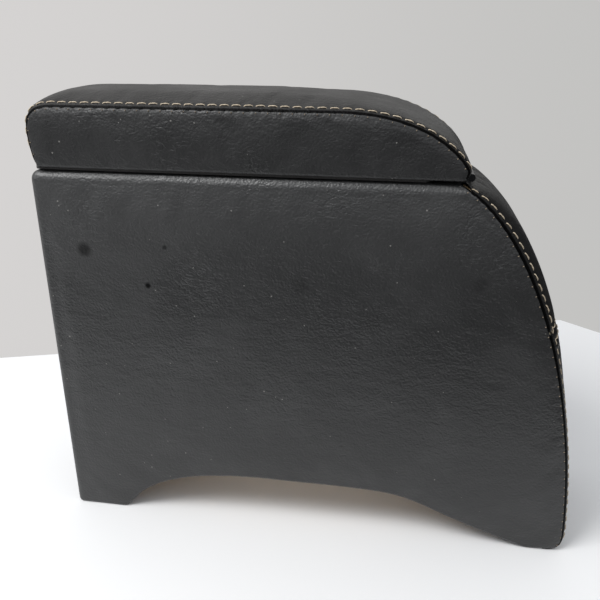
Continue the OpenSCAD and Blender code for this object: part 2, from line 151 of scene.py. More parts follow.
def add_camera():
    right, top, look = camera_axes()
    data = bpy.data.cameras.new("camera")
    data.lens = LENS
    data.sensor_width = SENSOR
    data.clip_start = 0.01
    camera = new_object("camera", data)
    turn = Matrix((right, top, -look)).transposed().to_4x4()
    camera.matrix_world = Matrix.Translation(CAMERA_AT) @ turn
    bpy.context.scene.camera = camera


def table_point(px, py):
    """Where the line of sight through a pixel of the photograph meets the table."""
    right, top, look = camera_axes()
    scale = SENSOR / LENS / PHOTO_PX
    middle = PHOTO_PX / 2
    ray = look + right * ((px - middle) * scale) - top * ((py - middle) * scale)
    return CAMERA_AT - ray * (CAMERA_AT.z / ray.z)


# Curves in side view


def bezier_line(p, t0=0.0, t1=1.0, n=60):
    """Points along a cubic curve, from its four control points."""
    t = np.linspace(t0, t1, n + 1)[:, None]
    p = np.asarray(p, float)
    return ((1 - t) ** 3 * p[0] + 3 * (1 - t) ** 2 * t * p[1]
            + 3 * (1 - t) * t * t * p[2] + t ** 3 * p[3])


def arc_of(line):
    steps = np.linalg.norm(np.diff(line, axis=0), axis=1)
    return np.concatenate([[0], np.cumsum(steps)])


def values_at(values, s, wanted):
    """Values that belong to the distances s, read at the wanted distances."""
    return np.stack([np.interp(wanted, s, values[:, k]) for k in range(values.shape[1])], 1)


def at_arc(line, wanted):
    return values_at(line, arc_of(line), wanted)


def even_line(line, step=1.3):
    length = arc_of(line)[-1]
    return at_arc(line, np.linspace(0, length, max(2, int(length / step))))


def tidy_line(*lines):
    """Lines joined end to end, without the points that come twice."""
    line = np.vstack(lines)
    keep = np.concatenate([[True], np.linalg.norm(np.diff(line, axis=0), axis=1) > 1e-4])
    return line[keep]


def left_of(line):
    """Unit normals to the left of a line, which face outwards on every cover path."""
    d = np.gradient(line, arc_of(line), axis=0)
    n = np.stack([-d[:, 1], d[:, 0]], 1)
    return n / np.linalg.norm(n, axis=1)[:, None]


def spread(length, fine, step):
    """Stations along a length: the fine distances at both ends, even steps between."""
    fine = np.asarray(fine, float)
    middle = length - 2 * fine[-1]
    n = max(2, int(round(middle / step)))
    return np.concatenate([fine, fine[-1] + middle * np.arange(1, n) / n,
                           length - fine[::-1]])


def cut_at_height(line, z):
    """Cuts a rising line's start so that it begins at a height."""
    k = int(np.argmax(line[:, 1] >= z))
    a, b = line[k - 1], line[k]
    start = a + (b - a) * (z - a[1]) / (b[1] - a[1])
    return np.vstack([start, line[k:]])


# Control points of the curves
ARCH_FRONT = [(ARCH_START, 0), (ARCH_START + 14, 18.5), (ARCH_START + 34, ARCH_H + 2.7),
              (ARCH_MID, ARCH_H)]
ARCH_REAR = [(ARCH_MID, ARCH_H), (ARCH_END - 52, ARCH_H), (ARCH_END - 96, ARCH_H - 2.9),
             (ARCH_END, 0)]
REAR_CURVE = [(AXIS_X - 5.8, BODY_H), (AXIS_X + 32.2, BODY_H - 20.6),
              (REAR_X - 7.7, FOOT_Z + 113.4), (REAR_X, FOOT_Z)]
REAR_FOOT = [(REAR_X, FOOT_Z), (REAR_X + 0.9, FOOT_Z - 11), (REAR_X - 0.5, 0), (FOOT_X, 0)]
LID_FRONT = [(LID_FRONT_X + 2.8, LID_Z), (LID_FRONT_X + 0.6, LID_Z + 9),
             (LID_FRONT_X - 0.2, LID_Z + 14), (LID_FRONT_X, LID_Z + 20)]
LID_NOSE = [(LID_FRONT_X, LID_Z + 20), (LID_FRONT_X, LID_Z + 30),
            (LID_FRONT_X + 4.5, LID_SEAM_Z), (LID_FRONT_X + 17, LID_SEAM_Z)]
LID_TOP = [(LID_FRONT_X + 17, LID_SEAM_Z), (LID_FRONT_X + 60, LID_SEAM_Z),
           (LID_REAR_X - 120, LID_SEAM_Z), (LID_REAR_X - 72, LID_SEAM_Z)]
LID_REAR = [(LID_REAR_X - 72, LID_SEAM_Z), (LID_REAR_X - 40, LID_SEAM_Z + 0.6),
            (LID_REAR_X - 13, LID_SEAM_Z - 9), (LID_REAR_X, LID_Z + 6)]
LID_HEEL = [(LID_REAR_X, LID_Z + 6), (LID_REAR_X + 1.2, LID_Z + 2.6),
            (LID_REAR_X - 2, LID_Z), (LID_REAR_X - 6, LID_Z)]

REAR_LINE = tidy_line(bezier_line(REAR_CURVE, n=240), bezier_line(REAR_FOOT, n=60))
LID_SEAM_LINE = tidy_line(bezier_line(LID_FRONT), bezier_line(LID_NOSE),
                          bezier_line(LID_TOP), bezier_line(LID_REAR),
                          bezier_line(LID_HEEL, 0, 0.6))

# Meshes


def in_metres(points):
    placed = np.array(points, float) * MM
    placed[:, 0] += FRONT
    return placed


def add_mesh(name, points, faces):
    mesh = bpy.data.meshes.new(name)
    mesh.from_pydata(in_metres(points).tolist(), [], faces)
    mesh.shade_smooth()
    return new_object(name, mesh)


def grid_faces(rows, cols, turned=False):
    faces = [(a, a + cols, a + cols + 1, a + 1)
             for a in range(rows * cols - cols) if a % cols < cols - 1]
    return [f[::-1] for f in faces] if turned else faces


def points_of(obj):
    """Vertex places in millimetres from the front face."""
    co = np.empty(len(obj.data.vertices) * 3)
    obj.data.vertices.foreach_get("co", co)
    co = co.reshape(-1, 3)
    co[:, 0] -= FRONT
    return co / MM


def set_points(obj, points):
    obj.data.vertices.foreach_set("co", in_metres(points).ravel())
    obj.data.update()


def normals_of(obj):
    n = np.empty(len(obj.data.vertices) * 3)
    obj.data.vertex_normals.foreach_get("vector", n)
    return n.reshape(-1, 3)


def store(obj, name, values):
    data = obj.data.attributes.new(name, "FLOAT", "POINT")
    data.data.foreach_set("value", np.asarray(values, np.float32).ravel())


def stored(obj, name):
    values = np.empty(len(obj.data.vertices), np.float32)
    obj.data.attributes[name].data.foreach_get("value", values)
    return values


def distance_to(points, line):
    """Distance of side view points to a line, and the place along it."""
    a, b = line[:-1], line[1:]
    d = b - a
    length2 = (d ** 2).sum(1)
    s = arc_of(line)
    near = np.full(len(points), 1e9)
    along = np.zeros(len(points))
    for k in range(len(a)):
        t = np.clip(((points - a[k]) @ d[k]) / length2[k], 0, 1)
        dist = np.linalg.norm(points - a[k] - t[:, None] * d[k], axis=1)
        closer = dist < near
        near[closer] = dist[closer]
        along[closer] = (s[k] + t * (s[k + 1] - s[k]))[closer]
    return near, along


def bake(obj):
    """Replaces an object's mesh by its evaluated one and takes its modifiers off."""
    graph = bpy.context.evaluated_depsgraph_get()
    mesh = bpy.data.meshes.new_from_object(obj.evaluated_get(graph), depsgraph=graph)
    obj.modifiers.clear()
    obj.data = mesh
    return obj


def subdivide(obj):
    sub = obj.modifiers.new("fine", "SUBSURF")
    sub.levels = sub.render_levels = 1
    sub.boundary_smooth = "PRESERVE_CORNERS"
    return bake(obj)


def puff_up(obj, held, pressure, slack, cap):
    """Swells a cover under air pressure, with its held points fixed, by at most cap mm."""
    group = obj.vertex_groups.new(name="held")
    group.add(np.nonzero(np.ravel(held))[0].tolist(), 1.0, "REPLACE")
    start = points_of(obj)
    cloth = obj.modifiers.new("air", "CLOTH")
    s = cloth.settings
    s.quality = 5
    s.mass = 0.25
    s.tension_stiffness = s.compression_stiffness = 12
    s.shear_stiffness = 6
    s.bending_stiffness = 0.8
    s.vertex_group_mass = "held"
    s.shrink_min = s.shrink_max = -slack
    s.use_pressure = True
    s.uniform_pressure_force = pressure
    s.effector_weights.gravity = 0
    cloth.collision_settings.use_collision = False
    cloth.collision_settings.use_self_collision = False
    scene = bpy.context.scene
    for f in range(1, AIR_FRAMES + 1):
        scene.frame_set(f)
    bake(obj)
    scene.frame_set(1)
    moved = points_of(obj) - start
    size = np.linalg.norm(moved, axis=1)
    moved *= (np.minimum(size, cap) / np.maximum(size, 1e-6))[:, None]
    set_points(obj, start + moved)
    obj.vertex_groups.clear()


def edge_round(e, width):
    """From 0 in the seam to 1 on the face, as a quarter circle."""
    u = np.clip(np.asarray(e, float) / width, 0, 1)
    return np.sqrt(np.clip(1 - (1 - u) ** 2, 0, 1))


def sew_down(obj, inset, depth, wave):
    """Dimples of the thread, most at its needle holes, and slight bulges between them."""
    e, along = stored(obj, "seam"), stored(obj, "along")
    points, normals = points_of(obj), normals_of(obj)
    hole = (0.5 + 0.5 * np.cos(2 * np.pi * along / STITCH_PITCH)) ** 2
    pull = -depth * (np.exp(-((e - inset) / 1.5) ** 2) * (0.35 + 0.65 * hole))
    bulge = wave * np.cos(2 * np.pi * along / STITCH_PITCH + np.pi) * np.exp(
        -((e - inset - 2.4) / 2.2) ** 2)
    set_points(obj, points + (pull + bulge)[:, None] * normals)


def pad_and_sew(obj, held, air, inset, depth, wave=0.16):
    puff_up(obj, held, *air)
    subdivide(obj)
    sew_down(obj, inset, depth, wave)
    return obj


def grid_object(name, grid, edge, along, turned=False):
    """A cover from its grid of points, with the seam's distance and place on it."""
    rows, cols = grid.shape[:2]
    obj = add_mesh(name, grid.reshape(-1, 3), grid_faces(rows, cols, turned))
    store(obj, "seam", edge)
    store(obj, "along", along)
    return obj


def lay_strip(line, lift, half, across):
    """A cover strip on a side view line. lift(x, z, e, t) is its height over the line."""
    normal = left_of(line)
    rows, cols = len(line), len(across)
    grid = np.zeros((rows, cols, 3))
    edge = np.zeros((rows, cols))
    for j, u in enumerate(across):
        t = u * 2 / across[-1] - 1
        e = min(u, across[-1] - u)
        place = line + lift(line[:, 0], line[:, 1], e, t)[:, None] * normal
        grid[:, j, 0] = place[:, 0]
        grid[:, j, 1] = t * half
        grid[:, j, 2] = np.maximum(place[:, 1], OVER_TABLE)
        edge[:, j] = e
    along = np.repeat(arc_of(line)[:, None], cols, 1)
    return grid, edge, along


EDGE_STEPS = [0, 0.5, 1.1, 1.8, 2.6, 3.5, 4.8, 6.6]
STRIP_ACROSS = spread(2 * STRIP_HALF_W, EDGE_STEPS, 2.9)


def lid_crown(x, z):
    """Rise of the lid's padding at mid width, over the seam."""
    up = np.clip((z - LID_Z - 6) / (LID_SEAM_Z - LID_Z - 6), 0, 1) ** 0.8
    front = 0.85 + 0.15 * np.clip((x - LID_FRONT_X) / 60, 0, 1)
    back = 1 - 0.85 * np.clip((x - LID_REAR_X + 110) / 90, 0, 1)
    return LID_RISE * up * front * back


def edge_roll(e):
    """A strip's height over the seam line as it rolls down into the seam."""
    return SKIN - (SKIN + ROLL_DROP) * (1 - edge_round(e, ROLL_W))


def lid_lift(x, z, e, t):
    """Height of the lid's strip over its line: t is -1 and 1 at the seams."""
    near_hinge = np.clip((x - LID_REAR_X + 14) / 12, 0, 1) * np.clip((z - LID_Z - 1) / 4, 0, 1)
    heel = HEEL_SWELL * near_hinge * (1 - np.abs(t) ** 5)
    return edge_roll(e) + lid_crown(x, z) * (1 - np.abs(t) ** 3.5) + heel


def rear_lift(x, z, e, t):
    fold = FOLD_DEPTH * (1 - edge_round(np.abs(z - CROSS_SEAM_Z), FOLD_W))
    return edge_roll(e) + np.interp(z, REAR_RISE_Z, REAR_RISE) * (1 - np.abs(t) ** 5) - fold


def make_lid_strip():
    line = tidy_line(bezier_line(LID_FRONT, 0.12, 1), bezier_line(LID_NOSE),
                     bezier_line(LID_TOP), bezier_line(LID_REAR, n=120),
                     bezier_line(LID_HEEL, 0, 0.45))
    line = even_line(line, ROW_STEP)
    grid, edge, along = lay_strip(line, lid_lift, STRIP_HALF_W, STRIP_ACROSS)
    # Turned under at the front and rear, and fixed on the lid board
    across = grid[0, :, 1] / STRIP_HALF_W

    def hem(row, half, shift, rise):
        turned = row.copy()
        turned[:, 0] = row[:, 0].mean() + shift
        turned[:, 1] = across * half
        turned[:, 2] = LID_Z + rise
        return turned

    front = [hem(grid[0], STRIP_HALF_W - 0.5, shift, rise)
             for shift, rise in ((14, 0.1), (6, 0.1), (2.2, 0.3))]
    rear = [hem(grid[-1], STRIP_HALF_W - 0.7, shift, rise)
            for shift, rise in ((-2.0, 0.3), (-6, 0.05), (-15, 0.05))]
    grid = np.concatenate([front, grid, rear])
    edge = np.concatenate([edge[:3], edge, edge[:3]])
    along = np.concatenate([along[:1]] * 3 + [along] + [along[-1:]] * 3)
    obj = grid_object("lid_top_cover", grid, edge, along)
    held = edge < 3
    held[:6] = held[-5:] = True
    return pad_and_sew(obj, held, LID_AIR, STITCH_IN, STITCH_DIP)


def make_rear_strip(name, line, lead=()):
    """A rear strip. lead gives rows of its hem before the line: x, z and half width."""
    grid, edge, along = lay_strip(line, rear_lift, STRIP_HALF_W, STRIP_ACROSS)
    cols = len(STRIP_ACROSS)
    if lead:
        across = np.linspace(-1, 1, cols)
        hem = [np.stack([np.full(cols, x), across * half, np.full(cols, z)], 1)
               for x, z, half in lead]
        grid = np.concatenate([hem, grid])
        edge = np.concatenate([np.full((len(lead), cols), FAR_FROM_SEAM), edge])
        along = np.concatenate([along[:1]] * len(lead) + [along])
    obj = grid_object(name, grid, edge, along)
    held = edge < 3
    held[:len(lead) + 3] = True
    held[-3:] = True
    return pad_and_sew(obj, held, REAR_AIR, STITCH_IN, STITCH_DIP)


def split_rear():
    """The rear line above and below the cross seam."""
    z = REAR_LINE[:, 1]
    parts = (REAR_LINE[(z < RAIL_TOP + 0.2) & (z > CROSS_SEAM_Z + 0.25)],
             REAR_LINE[z < CROSS_SEAM_Z - 0.25])
    return [at_arc(part, spread(arc_of(part)[-1], [0, 0.7, 1.5, 2.4, 3.6], ROW_STEP))
            for part in parts]


def coons(bottom, top, left, right, us, vs):
    """A patch between four side view lines, at the given shares along and up."""
    def at(line, share):
        return at_arc(line, share * arc_of(line)[-1])
    lo, hi, le, ri = at(bottom, us), at(top, us), at(left, vs), at(right, vs)
    u, v = us[None, :, None], vs[:, None, None]
    flat = (1 - v) * lo[None] + v * hi[None] + (1 - u) * le[:, None] + u * ri[:, None]
    corners = ((1 - u) * (1 - v) * lo[0] + u * (1 - v) * lo[-1]
               + (1 - u) * v * hi[0] + u * v * hi[-1])
    return flat - corners


def seam_tuck(e):
    """How far a side cover turns in as it goes into the seam."""
    return TUCK * (1 - edge_round(e, TUCK_W))


def make_lid_side(name):
    """The lid's left cover: a lens between the seam and the rolled bottom edge."""
    r = LID_ROLL_R
    left = cut_at_height(tidy_line(bezier_line(LID_FRONT), bezier_line(LID_NOSE)), LID_Z + r)
    right = cut_at_height(tidy_line(bezier_line(LID_HEEL)[::-1], bezier_line(LID_REAR)[::-1]),
                          LID_Z + r)
    bottom = np.array([left[0], right[0]])
    length = bottom[1, 0] - bottom[0, 0]
    us = spread(length, [0, 0.6, 1.3, 2.2, 3.4, 5, 7.5], 2.8) / length
    rise = 34.0
    vs = np.concatenate([[0, 0.8, 1.8, 3.2], np.linspace(5, rise - 6, 9),
                         rise - np.array([4.4, 3.2, 2.3, 1.5, 0.8, 0])]) / rise
    patch = coons(bottom, bezier_line(LID_TOP), left, right, us, vs)
    flat = patch.reshape(-1, 2)
    e, _ = distance_to(flat, LID_SEAM_LINE)
    low = np.clip((flat[:, 1] - LID_Z) / 9, 0, 1)
    cushion = 0.5 * np.clip(e / 12, 0, 1) ** 0.7 * np.sin(np.pi * low / 2) ** 0.7
    face = np.stack([flat[:, 0], -HALF_W + seam_tuck(e) - cushion, flat[:, 1]], 1)
    face = face.reshape(len(vs), len(us), 3)
    # The hem under the lid, then the rolled bottom edge
    rows = []
    for d in (14.0, 10.0, 6.0, 3.4):
        row = face[0].copy()
        row[:, 0] = bottom[0, 0] + 3 + (length - 9) * us
        row[:, 1], row[:, 2] = -HALF_W + d, LID_Z + 0.02
        rows.append(row)
    for a in (0, 30, 60):
        c, sn = cos_sin(a)
        row = face[0].copy()
        row[:, 1] += r - r * sn
        row[:, 2] = LID_Z + r - r * c
        rows.append(row)
    grid = np.concatenate([rows, face])
    e, along = distance_to(grid.reshape(-1, 3)[:, [0, 2]], LID_SEAM_LINE)
    e[:7 * len(us)] += 6
    obj = grid_object(name, grid, e, along, True)
    held = (e < 4) | (grid.reshape(-1, 3)[:, 2] < LID_Z + 4)
    return pad_and_sew(obj, held, LID_SIDE_AIR, DOT_IN, DOT_DIP, 0.1)


def mirror_to_right(obj, name):
    """A copy on the other side of the middle, with its faces turned to look outwards."""
    copy = new_object(name, obj.data.copy())
    points = points_of(copy) * [1, -1, 1]
    copy.data.flip_normals()
    set_points(copy, points)
    return copy


def cos_sin(degrees):
    return math.cos(math.radians(degrees)), math.sin(math.radians(degrees))


def edge_inset(d):
    """Centre and radius of the cover's vertical front edge, drawn in by d."""
    radius = max(FRONT_EDGE_R - d, 0.3)
    return d + radius, radius


def front_panel(inset):
    """The front of the box with its rounded edges, a row for each inset and height."""
    rows = []
    for d, z in inset:
        centre, radius = edge_inset(d)
        row = []
        for a in (15, 30, 45, 60, 75):
            c, sn = cos_sin(a)
            row.append((centre - radius * sn, -(HALF_W - d) + radius - radius * c, z))
        reach = HALF_W - d - radius
        row += [(d, y * reach, z) for y in np.linspace(-1, 1, 27)]
        row += [(x, -y, z) for x, y, z in row[4::-1]]
        rows.append(row)
    return np.array(rows)


def make_body_wrap():
    """One sheet round the left side, the front and the right side of the box."""
    r = HEM_ROLL_R
    top_z = BODY_H - TOP_ROLL_R
    foot = bezier_line(REAR_FOOT, n=80)[::-1]
    start = int(np.argmax(foot[:, 1] > r))
    base = tidy_line(np.array([[FRONT_EDGE_R, 0], [ARCH_START, 0]]), bezier_line(ARCH_FRONT),
                     bezier_line(ARCH_REAR), np.array([[ARCH_END, 0], [FOOT_X, 0]]),
                     foot[:start + 1])
    right = tidy_line(foot[start:], bezier_line(REAR_CURVE, n=240)[::-1])
    end_x = np.interp(top_z, right[:, 1], right[:, 0])
    side_right = np.vstack([right[right[:, 1] < top_z - 0.01], [end_x, top_z]])
    s = arc_of(base)
    us = np.linspace(0, s[-1], int(s[-1] / WRAP_STEP))
    for x in (ARCH_START, ARCH_END):
        c = s[np.argmin(np.abs(base[:, 0] - x) + base[:, 1])]
        us[np.argmin(np.abs(us - c))] = c
    fine = s[-1] - np.array([9.0, 6.8, 5.0, 3.6, 2.5, 1.6, 0.8, 0])
    us = np.concatenate([us[us < fine[0] - 2], fine])
    up = values_at(left_of(base), s, us)
    up /= np.linalg.norm(up, axis=1)[:, None]
    edge = at_arc(base, us)
    shrink = np.clip((1 - us / s[-1]) / 0.03, 0, 1)
    inner = edge + (r * shrink)[:, None] * up
    inner[0] = [FRONT_EDGE_R, r]
    share = arc_of(inner) / arc_of(inner)[-1]
    height = top_z - r
    vs = np.concatenate([[0, 1.2, 2.8], np.linspace(5.5, height - 6, 62),
                         [height - 3, height - 1.2, height]]) / height
    left = np.array([[FRONT_EDGE_R, r], [FRONT_EDGE_R, top_z]])
    top = np.array([[FRONT_EDGE_R, top_z], [end_x, top_z]])
    patch = coons(inner, top, left, side_right, share, vs)
    rows, inset = [], []

    def add_row(xz, d, z):
        shift = (edge_inset(d)[0] - FRONT_EDGE_R) * np.clip(1 - share / 0.12, 0, 1)
        rows.append(np.stack([xz[:, 0] + shift, np.full(len(xz), -HALF_W + d), xz[:, 1]], 1))
        inset.append((d, z))

    def level_row(end, z):
        return np.stack([FRONT_EDGE_R + (end - FRONT_EDGE_R) * share,
                         np.full(len(share), z)], 1)

    # The hem underneath, its roll, the side, the roll at the top and the rim
    for d in (BOX_X, 9.0, 5.0):
        add_row(edge, d, 0.0)
    for a in (0, 30, 60):
        c, sn = cos_sin(a)
        add_row(edge + (r * (1 - c) * shrink)[:, None] * up, r - r * sn, r * (1 - c))
    for k, v in enumerate(vs):
        add_row(patch[k], 0.0, r + v * height)
    for a in (15, 30, 45, 60, 75, 90):
        c, sn = cos_sin(a)
        z = top_z + TOP_ROLL_R * sn
        end = np.interp(z, right[:, 1], right[:, 0])
        add_row(level_row(end, z), TOP_ROLL_R * (1 - c), z)
    for d, z in ((7.5, BODY_H), (9.5, BODY_H), (11.5, BODY_H), (BOX_X - 0.3, BODY_H),
                 (BOX_X, BODY_H - 0.3), (BOX_X, BODY_H - COVER_T)):
        add_row(level_row(REAR_CURVE[0][0], z), d, z)
    side = np.array(rows)
    flat = side.reshape(-1, 3)
    e, _ = distance_to(flat[:, [0, 2]], REAR_LINE)
    on_face = (flat[:, 2] < top_z + 4) * (flat[:, 1] < -HALF_W + 3)
    lean = SHOULDER_LEAN * np.clip((flat[:, 2] - top_z + SHOULDER_H) / SHOULDER_H, 0, 1) ** 2
    clear = np.clip((flat[:, 0] - FRONT_EDGE_R) / 30, 0, 1) * np.clip(e / 12, 0, 1)
    flat[:, 1] += np.maximum(seam_tuck(e) * on_face, lean * clear * (flat[:, 2] < top_z + 4))
    side = flat.reshape(side.shape)
    grid = np.concatenate([side[:, ::-1], front_panel(inset), side * [1, -1, 1]], axis=1)
    flat = grid.reshape(-1, 3)
    e, along = distance_to(flat[:, [0, 2]], REAR_LINE)
    e[np.abs(flat[:, 1]) < HALF_W - 6] = FAR_FROM_SEAM
    obj = grid_object("body_cover_wrap", grid, e, along)
    base_gap, _ = distance_to(flat[:, [0, 2]], base)
    held = (e < 4) | (base_gap < 4) | (flat[:, 2] > top_z - 2) | (flat[:, 2] < 4)
    held |= (flat[:, 0] < 8) | (np.abs(flat[:, 1]) < HALF_W - 3.5)
    return pad_and_sew(obj, held, WRAP_AIR, DOT_IN, DOT_DIP, 0.12)


# Nodes


class Bench:
    """Short ways to add and join nodes in one tree."""

    def __init__(self, tree):
        self.tree = tree

    def add(self, kind, **settings):
        node = self.tree.nodes.new(kind)
        for key, value in settings.items():
            setattr(node, key, value)
        return node

    def join(self, source, target):
        self.tree.links.new(source, target)

    def put(self, value, target):
        if isinstance(value, bpy.types.NodeSocket):
            self.join(value, target)
        else:
            target.default_value = value

    def math(self, operation, a, b=0.0, c=0.0):
        node = self.add("ShaderNodeMath", operation=operation)
        for value, target in zip((a, b, c), node.inputs):
            self.put(value, target)
        return node.outputs[0]

    def noise(self, vector, scale, detail=2.0, rough=0.5, distortion=0.0):
        node = self.add("ShaderNodeTexNoise")
        self.join(vector, node.inputs["Vector"])
        for title, value in (("Scale", scale), ("Detail", detail), ("Roughness", rough),
                             ("Distortion", distortion)):
            self.put(value, node.inputs[title])
        return node.outputs["Fac"]

    def voronoi(self, vector, scale, feature="F1", randomness=1.0):
        node = self.add("ShaderNodeTexVoronoi", feature=feature)
        self.join(vector, node.inputs["Vector"])
        self.put(scale, node.inputs["Scale"])
        node.inputs["Randomness"].default_value = randomness
        return node.outputs["Distance"]

    def ramp(self, value, low, high, to_low=0.0, to_high=1.0):
        node = self.add("ShaderNodeMapRange", interpolation_type="SMOOTHSTEP")
        for title, v in (("Value", value), ("From Min", low), ("From Max", high),
                         ("To Min", to_low), ("To Max", to_high)):
            self.put(v, node.inputs[title])
        return node.outputs["Result"]

    def mix(self, share, a, b):
        node = self.add("ShaderNodeMix", data_type="RGBA")
        self.put(share, node.inputs[0])
        self.put(a, node.inputs[6])
        self.put(b, node.inputs[7])
        return node.outputs[2]

    def paint(self, shader, share, dark, light):
        self.join(self.mix(share, (*dark, 1), (*light, 1)), shader.inputs["Base Color"])

    def stretch(self, vector, scale, rotation=(0, 0, 0)):
        node = self.add("ShaderNodeMapping")
        self.join(vector, node.inputs["Vector"])
        node.inputs["Scale"].default_value = scale
        node.inputs["Rotation"].default_value = rotation
        return node.outputs[0]

    def bump(self, height, strength, distance, shader):
        node = self.add("ShaderNodeBump")
        node.inputs["Strength"].default_value = strength
        node.inputs["Distance"].default_value = distance
        self.join(height, node.inputs["Height"])
        self.join(node.outputs[0], shader.inputs["Normal"])


# Threads


def thread_stitch():
    """One stitch of two-ply thread, dipping into the cover at both ends."""
    rings, around = 11, 8
    length, thick = 5.4, 0.42
    points = []
    for i in range(rings):
        u = i / (rings - 1)
        x = (u - 0.5) * length
        z = 0.30 - 0.95 * abs(2 * u - 1) ** 4
        turn = u * math.pi * 2.2
        for k in range(around):
            a = 2 * math.pi * k / around
            radius = thick * (0.86 + 0.16 * math.cos(2 * (a - turn)))
            points.append((x, radius * math.cos(a), z + radius * 0.85 * math.sin(a)))
    faces = []
    for i in range(rings - 1):
        for k in range(around):
            a, b = i * around + k, i * around + (k + 1) % around
            faces.append((a, b, b + around, a + around))
    faces.append(tuple(range(around))[::-1])
    faces.append(tuple((rings - 1) * around + k for k in range(around)))
    mesh = bpy.data.meshes.new("stitch_shape")
    mesh.from_pydata((np.array(points) * MM).tolist(), [], faces)
    mesh.shade_smooth()
    return bpy.data.objects.new("stitch_shape", mesh)


def stitch_tree():
    """Stitches along a line: resampled at the pitch, turned to the surface, realized."""
    tree = bpy.data.node_groups.new("Stitch row", "GeometryNodeTree")
    for title, kind in (("Line", "Geometry"), ("Stitch", "Object"), ("Pitch", "Float"),
                        ("Slant", "Float"), ("Unevenness", "Float"), ("Length", "Float"),
                        ("Seed", "Int"), ("Thread", "Material")):
        tree.interface.new_socket(title, in_out="INPUT", socket_type="NodeSocket" + kind)
    tree.interface.new_socket("Stitches", in_out="OUTPUT", socket_type="NodeSocketGeometry")
    add = Bench(tree).add
    source, result = add("NodeGroupInput"), add("NodeGroupOutput")
    curve = add("GeometryNodeMeshToCurve")
    even = add("GeometryNodeResampleCurve", mode="LENGTH")
    place = add("GeometryNodeInstanceOnPoints")
    shape = add("GeometryNodeObjectInfo")
    tangent = add("GeometryNodeInputTangent")
    up = add("GeometryNodeInputNamedAttribute", data_type="FLOAT_VECTOR")
    up.inputs["Name"].default_value = "up"
    along = add("FunctionNodeAlignRotationToVector", axis="X")
    level = add("FunctionNodeAlignRotationToVector", axis="Z", pivot_axis="X")
    chance = add("FunctionNodeRandomValue", data_type="FLOAT")
    chance.inputs[2].default_value, chance.inputs[3].default_value = -1.0, 1.0
    spin = add("ShaderNodeMath", operation="MULTIPLY_ADD")
    turn = add("ShaderNodeCombineXYZ")
    to_turn = add("FunctionNodeEulerToRotation")
    local = add("FunctionNodeRotateRotation", rotation_space="LOCAL")
    stretch = add("ShaderNodeCombineXYZ")
    stretch.inputs[1].default_value = stretch.inputs[2].default_value = 1.0
    real = add("GeometryNodeRealizeInstances")
    paint = add("GeometryNodeSetMaterial")
    for first, output, second, target in (
            (source, "Line", curve, "Mesh"), (curve, "Curve", even, "Curve"),
            (source, "Pitch", even, "Length"), (even, "Curve", place, "Points"),
            (source, "Stitch", shape, "Object"), (shape, "Geometry", place, "Instance"),
            (tangent, "Tangent", along, "Vector"), (along, "Rotation", level, "Rotation"),
            (up, "Attribute", level, "Vector"), (source, "Seed", chance, "Seed"),
            (chance, 1, spin, 0), (source, "Unevenness", spin, 1),
            (source, "Slant", spin, 2), (spin, 0, turn, 2), (turn, 0, to_turn, 0),
            (level, "Rotation", local, "Rotation"), (to_turn, 0, local, "Rotate By"),
            (local, "Rotation", place, "Rotation"), (source, "Length", stretch, 0),
            (stretch, 0, place, "Scale"), (place, "Instances", real, "Geometry"),
            (real, "Geometry", paint, "Geometry"), (source, "Thread", paint, "Material"),
            (paint, "Geometry", result, "Stitches")):
        tree.links.new(first.outputs[output], second.inputs[target])
    return tree


def set_inputs(modifier, **values):
    for item in modifier.node_group.interface.items_tree:
        if item.item_type == "SOCKET" and item.in_out == "INPUT" and item.name in values:
            modifier[item.identifier] = values[item.name]


def surface_of(cover):
    return BVHTree.FromPolygons([v.co for v in cover.data.vertices],
                                [tuple(p.vertices) for p in cover.data.polygons])


def on_surface(surface, x, y, z):
    """Moves points onto a finished cover and gives its normals there."""
    places, normals = [], []
    for p in np.broadcast(x, y, z):
        spot = Vector((p[0] * MM + FRONT, p[1] * MM, p[2] * MM))
        hit, normal, _, _ = surface.find_nearest(spot)
        places.append(hit)
        normals.append(normal)
    return places, normals


def sew(name, rows, thread, slant, uneven, length=1.0):
    """Stitch rows as one mesh. Each row is a list of places and a list of normals."""
    points, edges, ups = [], [], []
    for places, normals in rows:
        first = len(points)
        points += places
        ups += normals
        edges += [(first + k, first + k + 1) for k in range(len(places) - 1)]
    mesh = bpy.data.meshes.new(name)
    mesh.from_pydata([tuple(p) for p in points], edges, [])
    up = mesh.attributes.new("up", "FLOAT_VECTOR", "POINT")
    up.data.foreach_set("vector", np.array([tuple(n) for n in ups], np.float32).ravel())
    obj = new_object(name, mesh)
    nodes = obj.modifiers.new("stitches", "NODES")
    nodes.node_group = ROW
    set_inputs(nodes, Stitch=SHAPE, Pitch=STITCH_PITCH * MM, Slant=slant,
               Unevenness=uneven, Length=length, Seed=7, Thread=thread)
    return bake(obj)


# Shader groups and materials


FLOAT, VECTOR = "NodeSocketFloat", "NodeSocketVector"


def shader_group(name, inputs, outputs):
    tree = bpy.data.node_groups.new(name, "ShaderNodeTree")
    for title, kind, value in inputs:
        socket = tree.interface.new_socket(title, in_out="INPUT", socket_type=kind)
        if value is not None:
            socket.default_value = value
    for title in outputs:
        tree.interface.new_socket(title, in_out="OUTPUT", socket_type=FLOAT)
    return Bench(tree), tree.nodes.new("NodeGroupInput"), tree.nodes.new("NodeGroupOutput")


